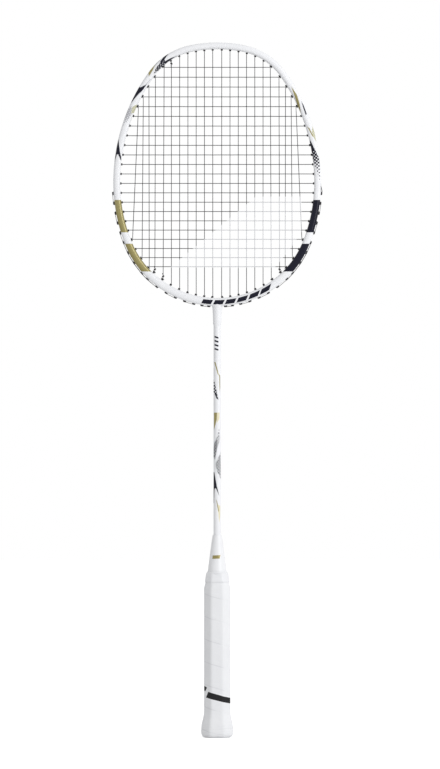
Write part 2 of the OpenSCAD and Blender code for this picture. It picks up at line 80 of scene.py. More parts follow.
def put(tree, kind, into=None, **settings):
    """Adds a node. The names or numbers in into are inputs, set to a value or fed from a socket."""
    node = tree.nodes.new(kind)
    for name, value in settings.items():
        setattr(node, name, value)
    for key, value in (into or {}).items():
        if isinstance(value, bpy.types.NodeSocket):
            tree.links.new(value, node.inputs[key])
        else:
            node.inputs[key].default_value = value
    return node


def calc(tree, how, *values):
    """A sum on sockets or numbers."""
    return put(tree, "ShaderNodeMath", dict(enumerate(values)), operation=how).outputs[0]


def ramp(tree, value, low=0, high=1, to_low=0, to_high=1):
    """Maps one range on another and holds the value there."""
    ends = {"From Min": low, "From Max": high, "To Min": to_low, "To Max": to_high}
    return put(tree, "ShaderNodeMapRange", {"Value": value, **ends}).outputs[0]


def split(tree, vector):
    return put(tree, "ShaderNodeSeparateXYZ", {0: vector}).outputs


def scale(tree, vector, by):
    return put(tree, "ShaderNodeVectorMath", {0: vector, "Scale": by}, operation="SCALE").outputs[0]


def new_finish(name):
    """An empty material for one finish: the material, its node tree and its shader."""
    material = bpy.data.materials.new(name)
    material.use_nodes = True
    tree = material.node_tree
    return material, tree, tree.nodes["Principled BSDF"]


def place_mesh(name, mesh, sharp):
    """An object for a mesh, smooth except over edges sharper than so many degrees."""
    mesh.shade_smooth()
    mesh.set_sharp_from_angle(angle=math.radians(sharp))
    piece = bpy.data.objects.new(name, mesh)
    scene.collection.objects.link(piece)
    return piece


def make_piece(name, points, faces, material, sharp=40):
    """A piece from points in millimetres."""
    mesh = bpy.data.meshes.new(name)
    mesh.from_pydata([tuple(c * mm for c in p) for p in points], [], faces)
    mesh.materials.append(material)
    return place_mesh(name, mesh, sharp)


def face_outwards(piece):
    shape = bmesh.new()
    shape.from_mesh(piece.data)
    bmesh.ops.recalc_face_normals(shape, faces=shape.faces)
    shape.to_mesh(piece.data)
    shape.free()


floor_paint, tree, shader = new_finish("matt_studio_floor")
shader.inputs["Base Color"].default_value = linear("#F2F2F2")
shader.inputs["Roughness"].default_value = 0.9
shader.inputs["Specular IOR Level"].default_value = 0.1
seen = put(tree, "ShaderNodeLightPath")
shader.inputs["Emission Color"].default_value = (1, 1, 1, 1)
floor_glow = calc(tree, "MULTIPLY", seen.outputs["Is Camera Ray"], 0.5)
tree.links.new(floor_glow, shader.inputs["Emission Strength"])
far = 4000
corners = [(-far, -far, 0), (far, -far, 0), (far, far, 0), (-far, far, 0)]
floor = make_piece("floor", corners, [(0, 1, 2, 3)], floor_paint)

room_light, side_light = 0.645, 0.125
world = bpy.data.worlds.new("white_room")
scene.world = world
world.use_nodes = True
tree = world.node_tree
seen = put(tree, "ShaderNodeLightPath")
shown = calc(tree, "MAXIMUM", seen.outputs["Is Camera Ray"], seen.outputs["Is Glossy Ray"])
shown = calc(tree, "MAXIMUM", shown, seen.outputs["Is Transmission Ray"])
toward = split(tree, put(tree, "ShaderNodeTexCoord").outputs["Generated"])[0]
sides = ramp(tree, toward, -1, 1, room_light - side_light, room_light + side_light)
tree.nodes["Background"].inputs["Color"].default_value = (1, 1, 1, 1)
tree.links.new(ramp(tree, shown, 0, 1, sides, 1), tree.nodes["Background"].inputs["Strength"])

lamp = bpy.data.objects.new("soft_box", bpy.data.lights.new("soft_box", "AREA"))
lamp.data.shape = "RECTANGLE"
lamp.data.size = 1.0
lamp.data.size_y = 1.6
lamp.data.energy = 18.4
lamp_turn, lamp_away = math.radians(41), 2.0
lamp.location = (lamp_away * math.sin(lamp_turn), -lamp_away * math.cos(lamp_turn), 1.0)
lamp.rotation_euler = (Vector((0, 0, 0.4)) - lamp.location).to_track_quat("-Z", "Y").to_euler()
scene.collection.objects.link(lamp)

# ------------ Head frame
# The oval tube of the head and the socket below it, moulded in one from carbon
# fibre and finished in white gloss lacquer. Gold and navy decals lie under a
# clear coat. A groove round its upper outer side holds the strings.
tip_z, widest_z, throat_z = 675, 539, 419
half_w = 101
frame_w = 7
groove_w, groove_depth, groove_end_z = 3, 1.8, 531.2


def end_arcs(length, r1, a, b):
    """Three tangent arcs from an end of the head to its widest place, as [centre, radius, start, end]."""
    a, b = math.radians(a), math.radians(b)
    start = (r1 * math.sin(a), length - r1 + r1 * math.cos(a))
    p = (math.sin(b) - math.sin(a), 1 - math.sin(b))
    q = (math.cos(a) - math.cos(b), math.cos(b))
    across, up = half_w - start[0], start[1]
    whole = p[0] * q[1] - p[1] * q[0]
    r2 = (across * q[1] - up * p[1]) / whole
    r3 = (up * p[0] - across * q[0]) / whole
    quarter = math.pi / 2
    return [
        ((0, length - r1), r1, quarter - a, quarter),
        (((r1 - r2) * math.sin(a), length - r1 + (r1 - r2) * math.cos(a)), r2, quarter - b, quarter - a),
        ((half_w - r3, 0), r3, 0, quarter - b),
    ]


top_arcs = end_arcs(tip_z - widest_z, 130, 12, 54.2)
low_arcs = end_arcs(widest_z - throat_z, 99, 30, 68.4)


def half_outline(step):
    """Places down the right side from the tip to the throat: (length run, x, z, normal x, normal z)."""
    places, run = [], 0
    for arcs, way in ((top_arcs, 1), (low_arcs[::-1], -1)):
        for centre, r, low, high in arcs:
            count = max(2, round(r * (high - low) / step))
            for i in range(count):
                turn = high - (high - low) * i / count if way > 0 else low + (high - low) * i / count
                places.append((
                    run + r * (high - low) * i / count,
                    centre[0] + r * math.cos(turn), widest_z + way * (centre[1] + r * math.sin(turn)),
                    math.cos(turn), way * math.sin(turn),
                ))
            run += r * (high - low)
    return places, run


def between(steps, at):
    """The value at a place among (place, value) steps, held past their ends."""
    for (low, a), (high, b) in zip(steps, steps[1:]):
        if at <= high:
            return a + (b - a) * max(0, at - low) / (high - low)
    return steps[-1][1]


def tube_width(z):
    """The tube is slimmest at the crown and widest at the throat, seen square to the strings."""
    return between([(419, 7.8), (480, 7.0), (539, 6.7), (600, 6.7), (675, 6.3)], z)


def tube_ring(groove, width):
    """The tube's section as (inset, depth), round from the middle of the outer side."""
    half = groove_w / 2
    quarter = [
        (groove, 0), (groove, half - 0.25), (max(groove - 0.15, 0), half), (min(0.2, groove), half),
        (0, half + 0.2), (0, 2.5), (0.12, 3.3), (0.5, 4.1), (1.1, 4.7), (1.9, 5.1), (2.8, 5.28), (3.5, 5.3),
        (4.2, 5.28), (5.1, 5.1), (5.9, 4.7), (6.5, 4.1), (6.88, 3.3), (7, 2.5), (7, 1.2), (7, 0),
    ]
    # Past the outer corner the section stretches to the width
    corner = 1.9
    widen = (width - frame_w) / (frame_w - corner)
    quarter = [(inset + widen * max(0, inset - corner), depth) for inset, depth in quarter]
    return quarter + [(inset, -depth) for inset, depth in quarter[-2:0:-1]]


def circles(outline, sides):
    """Rings of points round the racket's axis for an outline of (radius, height)."""
    turns = [2 * math.pi * k / sides for k in range(sides)]
    return [(r * math.cos(turn), r * math.sin(turn), z) for r, z in outline for turn in turns]


def quads(rows, sides, closed=True, start=0):
    """Faces between rings of points, and from the last ring to the first if closed."""
    steps = ((0, 0), (0, 1), (1, 1), (1, 0))
    return [
        tuple(start + (i + up) % rows * sides + (k + on) % sides for up, on in steps)
        for i in range(rows if closed else rows - 1) for k in range(sides)
    ]


outline_step, groove_fade = 1.4, 0.8
right, half_run = half_outline(outline_step)
path = right + [(half_run, 0, throat_z, 0, -1)]
path += [(-run, -x, z, -nx, nz) for run, x, z, nx, nz in right[:0:-1]]
points, marks = [], []
for run, x, z, nx, nz in path:
    groove = groove_depth * min(1, max(0, (z - groove_end_z) / groove_fade + 1))
    for inset, depth in tube_ring(groove, tube_width(z)):
        points.append((x - nx * inset, depth, z - nz * inset))
        marks.append((run, inset))
around = len(tube_ring(1, frame_w))
faces, face_marks = [], []
for a, b, c, d in quads(len(path), around):
    quad = (a, d, c, b)
    faces.append(quad)
    # The throat's own ring starts the left side, where runs are negative
    starts_left = a // around == len(right)
    face_marks.append([
        (-half_run, marks[k][1]) if starts_left and k // around == len(right) else marks[k] for k in quad
    ])

# The socket: a short cone of the same moulding, with a thin lip round the shaft
neck_rings = [
    (3.68, 401.0), (3.95, 400.9), (4.05, 401.15), (4.14, 405), (4.29, 410), (4.42, 413), (4.6, 416),
    (4.8, 418), (5.05, 419.4), (5.05, 423),
]
neck_sides = 64
neck_start = len(points)
points += circles(neck_rings, neck_sides)
neck_faces = quads(len(neck_rings), neck_sides, False, neck_start)
faces += neck_faces
face_marks += [[(half_run, 0)] * 4] * len(neck_faces)
for ring in (0, len(neck_rings) - 1):
    faces.append(tuple(neck_start + ring * neck_sides + k for k in range(neck_sides)))
    face_marks.append([(half_run, 0)] * neck_sides)

# White gloss lacquer under a clear coat, sprayed and polished: even, bright, with a
# faint orange peel. The gold is a satin metallic ink and the navy a solid one.
lacquer, tree, shader = new_finish("gloss_lacquer_on_carbon_fibre")
uv_run, uv_inset = 1000, 10
mark_uv = put(tree, "ShaderNodeUVMap", uv_map="run_and_inset")
place = put(tree, "ShaderNodeVectorMath", {
    0: mark_uv.outputs["UV"], 1: (uv_run, uv_inset, 1),
}, operation="MULTIPLY").outputs[0]


def object_mm(tree):
    """The place on the object in millimetres."""
    return scale(tree, put(tree, "ShaderNodeTexCoord").outputs["Object"], 1 / mm)


def pair(tree, x, y):
    return put(tree, "ShaderNodeCombineXYZ", {0: x, 1: y}).outputs[0]


def noise(tree, where, scale, detail, distortion=0):
    return put(tree, "ShaderNodeTexNoise", {
        "Vector": where, "Scale": scale, "Detail": detail, "Distortion": distortion,
    }).outputs["Fac"]


def raise_bump(tree, shader, strength, distance, height):
    bump = put(tree, "ShaderNodeBump", {"Strength": strength, "Distance": distance, "Height": height})
    tree.links.new(bump.outputs["Normal"], shader.inputs["Normal"])


def lay(tree, where, corners, blur=0.22):
    """How much of a convex patch of ink covers a place, for corners given in mm, either way round."""
    turn = sum(a[0] * b[1] - a[1] * b[0] for a, b in zip(corners, corners[1:] + corners[:1]))
    cover = None
    for a, b in zip(corners, corners[1:] + corners[:1]):
        edge = math.hypot(b[0] - a[0], b[1] - a[1]) * math.copysign(1, turn)
        nx, ny = (a[1] - b[1]) / edge, (b[0] - a[0]) / edge
        slope = {0: where, 1: (nx / blur, ny / blur, 0)}
        inside = put(tree, "ShaderNodeVectorMath", slope, operation="DOT_PRODUCT").outputs["Value"]
        inside = calc(tree, "ADD", inside, 0.5 - (nx * a[0] + ny * a[1]) / blur)
        cover = inside if cover is None else calc(tree, "MINIMUM", cover, inside)
    return put(tree, "ShaderNodeClamp", {"Value": cover}).outputs[0]


def lay_all(tree, where, patches, blur=0.22):
    return any_of(tree, [lay(tree, where, patch, blur) for patch in patches])


def any_of(tree, covers):
    whole = covers[0]
    for cover in covers[1:]:
        whole = calc(tree, "MAXIMUM", whole, cover)
    return whole


def blend(tree, amount, under, over):
    """One colour laid over another, each a socket or sRGB hex."""
    mix = put(tree, "ShaderNodeMix", {"Factor": amount}, data_type="RGBA")
    for socket, value in ((mix.inputs[6], under), (mix.inputs[7], over)):
        if isinstance(value, bpy.types.NodeSocket):
            tree.links.new(value, socket)
        else:
            socket.default_value = linear(value)
    return mix.outputs[2]


def turned_45(tree, where):
    turned = {"Vector": where, "Axis": (0, 0, 1), "Angle": math.radians(45)}
    return put(tree, "ShaderNodeVectorRotate", turned).outputs[0]


def dots(tree, where, pitch, fade):
    """Halftone dots in diagonal rows. Fade from 0 to 1 shrinks them away."""
    parts = split(tree, scale(tree, where, 2 * math.pi / pitch))
    hill = calc(tree, "ADD", calc(tree, "COSINE", parts[0]), calc(tree, "COSINE", parts[1]))
    level = ramp(tree, fade, 0, 1, -1.2, 2.0)
    return ramp(tree, calc(tree, "SUBTRACT", hill, level), -0.3, 0.3)


along = split(tree, place)
# Decals on the left side have negative runs, those on the right positive ones
gold_patches = [
    [(-65.5, 0.4), (-76, 0), (-79.5, 2.8), (-72, 2.2)],
    [(90, 3.4), (100.5, 2.6), (110, 4.2), (118.5, 6.6), (110, 6.6), (101, 5.2)],
    [(132.5, 5.6), (136, 3.6), (145, 2), (144, 3.2), (139, 4.2)],
]
navy_patches = [
    [(-48, -0.2), (-54, -0.2), (-61, 1.8), (-61, 3.6), (-55.5, 2.6)],
    [(-42.5, 5.9), (-50, 5.0), (-57.5, 4.2), (-58, 6.4), (-50, 6.3)],
    [(-92.8, -0.3), (-92.8, 1.4), (-99, 3.2), (-111, 0.3), (-104, -0.4)],
    [(-86.5, 5.2), (-92, 2.0), (-94, 2.4), (-97.5, 4.0), (-93, 4.9)],
    [(-92.6, 1.2), (-91.6, 2.8), (-95, 4.4), (-99, 3.2), (-97, 1.2)],
    [(-147.5, 0.2), (-154, 0.1), (-162.5, 0.4), (-162.6, 3.0), (-161, 4.6), (-154, 2.4)],
    [(-162, 0.3), (-162, 1.7), (-170.5, 0.3)],
    [(-160.5, 4.5), (-162.8, 3.0), (-168.5, 6.4), (-165, 6.2)],
    [(100, 0.5), (112, 1.1), (121, 0.3), (122.5, 2.9), (115, 2.6)],
    [(147, 6.1), (153.5, 4.4), (159, 3.6), (158.5, 7.2), (150, 7.2)],
    [(191, 0.45), (196, -0.3), (200, -0.3), (199, 0.35)],
]
speckled_patch = [(-113, 2.2), (-117.5, 0.2), (-127.5, 0), (-135, 0.8), (-127, 4.2), (-119.5, 5.2)]
pale_patches = [
    [(-109.5, 5.8), (-113.5, 3.2), (-119.8, 4.6), (-118, 7.2), (-111, 7.2)],
    [(134.5, 0.4), (140, -0.2), (150.5, 0.7), (144, 2.6), (140, 2.4)],
]
grey_patches = [
    [(-53, -0.5), (-60, -0.5), (-67.5, 0.7), (-67.5, 1.3), (-60.5, 0.6)],
    [(-80.5, 5.7), (-80.5, 5.1), (-87, 4.4), (-87, 5.2)],
]
dotted_patches = [
    ([(-56, 2), (-56, 6.8), (-66.5, 6.8), (-75, 5), (-67, 3)], -68, -84, 2.1),
    ([
        (153, 5), (157, 3.4), (166, 0.7), (178, 0.6), (190, 1.2), (178, 4.2), (166, 7.1), (156, 7.1),
    ], 160, 196, 2.3),
]
gold = lay_all(tree, place, gold_patches)
navy = lay_all(tree, place, navy_patches)
grey = lay_all(tree, place, grey_patches)
pale = lay_all(tree, place, pale_patches)
diagonal = turned_45(tree, place)
dotted = []
for patch, start, end, pitch in dotted_patches:
    fade = ramp(tree, along[0], start, end)
    dotted.append(calc(tree, "MULTIPLY", lay(tree, place, patch, 0.5), dots(tree, diagonal, pitch, fade)))
navy = any_of(tree, [navy] + dotted)
fade = ramp(tree, along[0], -122, -138)
speckled = calc(tree, "MULTIPLY", lay(tree, place, speckled_patch, 0.5), dots(tree, diagonal, 1.9, fade))
grey = any_of(tree, [grey, speckled])

# Two bands go right round the tube low on each side, gold on the left and navy on the right
spot_mm = object_mm(tree)
xyz = split(tree, spot_mm)
x_and_z = pair(tree, xyz[0], xyz[2])
band_heights = [(490.4, 521.9), (452.4, 479.4)]
near, past = 40, 120
gold_bands = [[(-past, a), (-near, a), (-near, b), (-past, b)] for a, b in band_heights]
navy_bands = [[(near, a), (past, a), (past, b), (near, b)] for a, b in band_heights]
gold = any_of(tree, [gold, lay_all(tree, x_and_z, gold_bands)])
navy = any_of(tree, [navy, lay_all(tree, x_and_z, navy_bands)])

# A row of slanting navy bars crosses the throat
bar_starts, bar_long, bar_slant, bar_foot, bar_top = (-15.6, -4.2, 7.2, 18.6, 30.0, 41.0), 9.4, 2.2, 1.4, 5.7
low_half = calc(tree, "LESS_THAN", xyz[2], 470)
bars = lay_all(tree, pair(tree, xyz[0], along[1]), [
    [(x, bar_foot), (x + bar_long, bar_foot), (x + bar_long + bar_slant, bar_top), (x + bar_slant, bar_top)]
    for x in bar_starts
])
navy = any_of(tree, [navy, calc(tree, "MULTIPLY", bars, low_half)])

coat = 0.15


def white_lacquer(tree, where):
    return blend(tree, noise(tree, where, 0.03, 2), "#F3F4F6", "#EDEEF2")


def polish(tree, shader, where):
    """The even gloss of polished lacquer."""
    shader.inputs["IOR"].default_value = 1.5
    shader.inputs["Specular IOR Level"].default_value = 0.15
    shader.inputs["Coat Weight"].default_value = coat
    shader.inputs["Coat Roughness"].default_value = 0.08
    raise_bump(tree, shader, 0.02, 0.0002, noise(tree, where, 0.5, 1))


gold_ink = blend(tree, noise(tree, spot_mm, 4.0, 1), "#897F4A", "#A39963")
colour = blend(tree, calc(tree, "MULTIPLY", grey, 0.55), white_lacquer(tree, spot_mm), "#6B6C76")
speckle = dots(tree, diagonal, 1.4, 0.45)
colour = blend(tree, pale, colour, blend(tree, speckle, "#D9D6B0", "#A3A59F"))
colour = blend(tree, gold, colour, gold_ink)
colour = blend(tree, navy, colour, "#08091F")
tree.links.new(colour, shader.inputs["Base Color"])
tree.links.new(calc(tree, "MULTIPLY", gold, 0.35), shader.inputs["Metallic"])
tree.links.new(ramp(tree, gold, 0, 1, 0.3, 0.38), shader.inputs["Roughness"])
polish(tree, shader, spot_mm)
tree.links.new(calc(tree, "MULTIPLY_ADD", gold, 0.6, coat), shader.inputs["Coat Weight"])

head = make_piece("lacquered_head_frame", points, faces, lacquer, 50)
layer = head.data.uv_layers.new(name="run_and_inset")
layer.data.foreach_set("uv", [
    c for corner_marks in face_marks for run, inset in corner_marks for c in (run / uv_run, inset / uv_inset)
])
face_outwards(head)
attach(head, "root")
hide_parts("head_frame")


# ------------ Shaft
# A slim pultruded carbon tube, lacquered like the head, with the same gold and
# navy decals. Its foot is glued into the wooden handle.
def turn_piece(name, outline, material, sides=72, sharp=40):
    """A closed outline of (radius, height) turned round the racket's axis."""
    piece = make_piece(name, circles(outline, sides), quads(len(outline), sides), material, sharp)
    face_outwards(piece)
    return piece


shaft_r, shaft_bore_r = 3.6, 2.4
shaft_low, shaft_high = 65, 417
lacquer_tube, tree, shader = new_finish("gloss_lacquer_on_carbon_tube")
spot_mm = object_mm(tree)
xyz = split(tree, spot_mm)
x_and_z = pair(tree, xyz[0], xyz[2])
gold_patches = [
    [(-2.9, 364.5), (-1.7, 364.5), (0.9, 355), (2.0, 350.5), (0.4, 353)],
    [(1.8, 353), (2.8, 351.5), (2.9, 340), (2.3, 334), (2.1, 344)],
    [(-3.1, 315.4), (-0.2, 315.4), (-0.5, 309), (-1.6, 304), (-3.2, 298.5)],
    [(-1.2, 231.6), (-0.1, 229), (1.7, 220.6), (1.1, 218.6)],
]
pale_patches = [
    [(-0.2, 315.4), (2.4, 315.4), (2.0, 309), (-0.5, 305)],
    [(0.5, 226.4), (3.0, 224.6), (2.9, 216), (2.2, 208.5), (1.4, 214)],
]
navy_patches = [
    [(-3.9, 257.5), (-2.8, 257.5), (-0.4, 244), (-2.2, 241), (-3.9, 244)],
    [(-1.9, 243.5), (-0.2, 243.5), (1.9, 234.5)],
    [(-3.9, 246), (-2.6, 243), (-3.2, 228), (-3.9, 226)],
    [(-2.6, 334), (-1.2, 333.4), (1.2, 328), (-0.8, 329.2)],
] + [[(-2.5, z), (1.3, z - 1.3), (1.1, z - 2.9), (-2.7, z - 1.6)] for z in (390, 386.1, 382.2, 378.3)]
dotted_patches = [
    ([(1.9, 300), (-0.6, 290), (-1.4, 284), (1.4, 284), (2.8, 290)], 0.5),
    ([(-0.4, 291), (-3.4, 284), (-3.9, 272), (-2.2, 270), (0.6, 284)], 0.25),
    ([(-1.7, 265), (3.2, 276.5), (3.4, 262), (3.3, 251), (0.2, 258)], 0.35),
    ([(-3.9, 348), (-2.6, 345.5), (1.2, 328), (-0.5, 329.5), (-3.9, 336)], 0.2),
]
gold = lay_all(tree, x_and_z, gold_patches)
pale = lay_all(tree, x_and_z, pale_patches, 0.5)
navy = lay_all(tree, x_and_z, navy_patches)
dot_pitch = 2.1
diagonal = turned_45(tree, x_and_z)
for patch, fade in dotted_patches:
    dotted = calc(tree, "MULTIPLY", lay(tree, x_and_z, patch, 0.6), dots(tree, diagonal, dot_pitch, fade))
    navy = any_of(tree, [navy, dotted])
gold_ink = blend(tree, noise(tree, spot_mm, 4.0, 1), "#8D8350", "#A99F6C")
colour = blend(tree, pale, white_lacquer(tree, spot_mm), "#E6DFC0")
colour = blend(tree, gold, colour, gold_ink)
colour = blend(tree, navy, colour, "#0B0C20")
tree.links.new(colour, shader.inputs["Base Color"])
tree.links.new(calc(tree, "MULTIPLY", gold, 0.35), shader.inputs["Metallic"])
shader.inputs["Roughness"].default_value = 0.3
polish(tree, shader, spot_mm)

shaft_bevel = 0.2
shaft = turn_piece("lacquered_shaft", [
    (shaft_bore_r, shaft_low), (shaft_r - shaft_bevel, shaft_low), (shaft_r, shaft_low + shaft_bevel),
    (shaft_r, 160), (shaft_r, 250), (shaft_r, 340), (shaft_r, shaft_high - shaft_bevel),
    (shaft_r - shaft_bevel, shaft_high), (shaft_bore_r, shaft_high), (shaft_bore_r, 240),
], lacquer_tube)
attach(shaft, "root")
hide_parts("shaft")

# ------------ Grommets
# Seventy-two short nylon tubes line the string holes. The upper ones are flush in
# the groove, the lower ones carry a saddle over the tube, and those that take
# strings from two ways have an oblong lip. They are moulded in black nylon.
n_mains, n_crosses = 11, 22
own_top, own_low = 6, 8
low_partners = (22, 21, 19)
first_raised = 14
barrel_proud, barrel_d, bore_d = 1.3, 2.2, 1.5
throat_proud = 1.7
lip_l = 3.4
saddle_l, saddle_w, saddle_h, saddle_floor, channel_w = 3.6, 4.2, 1.4, 0.55, 3.0
flush_height, raised_height = -0.74, 1.11
first_main, main_pitch = 4.4, 8.06
first_cross, last_cross, first_gap = tip_z - 23.8, throat_z + 38, 9.65


def on_outline(arcs, inset, x=None, y=None):
    """The place and normal where the outline, drawn in by the inset, has a half width x or a height y."""
    for centre, r, low, high in arcs:
        reach = r - inset
        if y is None:
            turn = math.acos(min(1, max(-1, (x - centre[0]) / reach)))
        else:
            turn = math.asin(min(1, max(-1, (y - centre[1]) / reach)))
        if low - 1e-6 <= turn <= high + 1e-6:
            nx, ny = math.cos(turn), math.sin(turn)
            return (centre[0] + reach * nx, centre[1] + reach * ny), (nx, ny)


def string_hole(arcs, way, inner, inset, lean, height, lipped):
    """A hole: its mouth, its outer end and the normal there, its strings' height, and if it has a lip."""
    (x, y), (nx, ny) = inner
    outer = (x + inset * nx, y + inset * ny)
    if lean:
        outer, (nx, ny) = on_outline(arcs, 0, x=outer[0] + lean)
    return {
        "mouth": Vector((x, 0, widest_z + way * y)),
        "outer": Vector((outer[0], 0, widest_z + way * outer[1])),
        "normal": Vector((nx, 0, way * ny)), "height": height, "lipped": lipped,
    }


def main_x(k):
    return first_main + main_pitch * (k - 1)


def cross_z(k):
    gaps, whole = n_crosses - 1, first_cross - last_cross
    easing = first_gap * gaps / whole - 1
    t = (k - 1) / gaps
    return first_cross - whole * (t + easing * t * (1 - t))


crown_inset = tube_width(tip_z) + barrel_proud
throat_inset = tube_width(throat_z) + throat_proud
crown_holes = [
    string_hole(
        top_arcs, 1, on_outline(top_arcs, crown_inset, x=main_x(k)), crown_inset, 0, flush_height, False,
    )
    for k in range(1, own_top + 1)
]
side_holes = []
for k in range(1, n_crosses + 1):
    way = 1 if cross_z(k) >= widest_z else -1
    arcs = top_arcs if way > 0 else low_arcs
    inset = tube_width(cross_z(k)) + barrel_proud
    inner = on_outline(arcs, inset, y=abs(cross_z(k) - widest_z))
    height = flush_height if k < first_raised else raised_height
    lipped = k <= n_mains - own_top or k in low_partners
    side_holes.append(string_hole(arcs, way, inner, inset, 0, height, lipped))
throat_holes = [
    string_hole(
        low_arcs, -1, on_outline(low_arcs, throat_inset, x=main_x(k)), throat_inset,
        {1: 3.2, 2: 1.0}.get(k, 0), raised_height, k > own_low - 2,
    )
    for k in range(1, own_low + 1)
]

# Moulded nylon: black, with a low sheen and a fine matt grain left by the mould
nylon, tree, shader = new_finish("moulded_black_nylon")
spot_mm = object_mm(tree)
grain = noise(tree, spot_mm, 3.0, 3)
tree.links.new(blend(tree, grain, "#0F0F12", "#1B1B1F"), shader.inputs["Base Color"])
tree.links.new(ramp(tree, grain, 0, 1, 0.42, 0.6), shader.inputs["Roughness"])
shader.inputs["IOR"].default_value = 1.53
raise_bump(tree, shader, 0.3, 0.00005, grain)


def mould(name, loops):
    """One grommet's own form as stacked rings of (half length, half width, height), closed at both ends."""
    sides, points = 16, []
    for long, wide, z in loops:
        for k in range(sides):
            turn = 2 * math.pi * (k + 0.5) / sides
            straight = math.copysign(max(0, long - wide), math.cos(turn))
            points.append((wide * math.cos(turn) + straight, wide * math.sin(turn), z))
    faces = quads(len(loops), sides, False)
    faces += [tuple(range(sides)), tuple((len(loops) - 1) * sides + k for k in range(sides))]
    form = make_piece(name, points, faces, nylon)
    face_outwards(form)
    return form


# Each form lies along +Z, with z = 0 at the mouth and the frame above it
barrel_r, bore_r = barrel_d / 2, bore_d / 2
mouth = [(bore_r, bore_r, 0.9), (bore_r, bore_r, 0.12), (bore_r + 0.1, bore_r + 0.1, 0)]
plain_form = mould("plain_form", mouth + [
    (barrel_r - 0.12, barrel_r - 0.12, 0), (barrel_r, barrel_r, 0.12), (barrel_r, barrel_r, 2.5),
])
lipped_form = mould("lipped_form", mouth + [
    (lip_l / 2 - 0.12, barrel_r - 0.12, 0), (lip_l / 2, barrel_r, 0.14), (lip_l / 2, barrel_r, 0.92),
    (barrel_r, barrel_r, 0.94), (barrel_r, barrel_r, 2.5),
])
collar_r = 1.4
collar_form = mould("collar_form", [
    (bore_r, bore_r, -1.5), (bore_r, bore_r, 0.46), (bore_r + 0.06, bore_r + 0.06, 0.5),
    (collar_r - 0.08, collar_r - 0.08, 0.5), (collar_r, collar_r, 0.42), (collar_r, collar_r, 0.0),
])
# The saddle is a channel with rounded ends, on the tube's outer face
half_wide, half_channel, bevel, tip, tip_drop = saddle_w / 2, channel_w / 2, 0.15, 0.18, 0.12
half_section = [
    (-half_wide, 0.02), (-half_wide, saddle_h - bevel), (bevel - half_wide, saddle_h),
    (-half_channel - 0.12, saddle_h), (-half_channel, saddle_h - 0.12), (-half_channel, saddle_floor),
]
saddle_section = half_section + [(-y, z) for y, z in half_section[::-1]]
points, end_x, end_taper = [], saddle_l / 2, 0.55
for x, drop in ((-end_x, tip_drop), (tip - end_x, 0), (end_x - tip, 0), (end_x, tip_drop)):
    for y, z in saddle_section:
        sunk = drop if z > saddle_h - 0.3 else 0
        points.append((x - math.copysign(end_taper * z / saddle_h, x), y * (1 - drop / 4), z - sunk))
size = len(saddle_section)
faces = quads(4, size, False)
for at in (0, 3 * size):
    faces += [tuple(at + k for k in end) for end in ((0, 1, 2, 3, 4, 5), (0, 5, 6, 11), (6, 7, 8, 9, 10, 11))]
saddle_form = make_piece("saddle_form", points, faces, nylon, 30)
face_outwards(saddle_form)


def new_group(name, **kinds):
    """A tree that takes a geometry and named inputs, and the inputs' identifiers."""
    group = bpy.data.node_groups.new(name, "GeometryNodeTree")
    group.interface.new_socket("Geometry", in_out="INPUT", socket_type="NodeSocketGeometry")
    keys = {
        key: group.interface.new_socket(key, in_out="INPUT", socket_type="NodeSocket" + kind).identifier
        for key, kind in kinds.items()
    }
    group.interface.new_socket("Geometry", in_out="OUTPUT", socket_type="NodeSocketGeometry")
    return group, keys


def end_group(group, geometry, finish):
    """Makes what a tree has drawn into plain geometry of one material."""
    solid = put(group, "GeometryNodeRealizeInstances", {"Geometry": geometry})
    painted = put(group, "GeometryNodeSetMaterial", {"Geometry": solid.outputs[0], "Material": finish})
    put(group, "NodeGroupOutput", {0: painted.outputs[0]})


def grow(group, keys, mesh, **values):
    """The plain mesh that a tree makes from a mesh. The modifier is removed."""
    holder = bpy.data.objects.new(mesh.name, mesh)
    scene.collection.objects.link(holder)
    modifier = holder.modifiers.new(group.name, "NODES")
    modifier.node_group = group
    for key, value in values.items():
        modifier[keys[key]] = value
    bpy.context.view_layer.update()
    result = bpy.data.meshes.new_from_object(holder.evaluated_get(bpy.context.evaluated_depsgraph_get()))
    holder.modifiers.clear()
    bpy.data.objects.remove(holder)
    return result


# The tree sets one form on every marked place, turned to lie along its hole
grommet_tree, grommet_keys = new_group("set_grommets", Form="Object", Size="Float", Finish="Material")
given = put(grommet_tree, "NodeGroupInput").outputs
turned = put(grommet_tree, "GeometryNodeInputNamedAttribute", {"Name": "turn"}, data_type="FLOAT_VECTOR")
set_out = put(grommet_tree, "GeometryNodeInstanceOnPoints", {
    "Points": given["Geometry"],
    "Instance": put(grommet_tree, "GeometryNodeObjectInfo", {"Object": given["Form"]}).outputs["Geometry"],
    "Rotation": turned.outputs[0], "Scale": given["Size"],
})
end_group(grommet_tree, set_out.outputs[0], given["Finish"])


def set_forms(form, seats):
    """Copies of a form at (place, direction) seats, as one mesh."""
    mesh = bpy.data.meshes.new("seats")
    mesh.from_pydata([tuple(place * mm) for place, way in seats], [], [])
    turns = mesh.attributes.new("turn", "FLOAT_VECTOR", "POINT")
    turns.data.foreach_set("vector", [c for place, way in seats for c in (0, math.atan2(way.x, way.z), 0)])
    return grow(grommet_tree, grommet_keys, mesh, Form=form, Size=1.0, Finish=nylon)


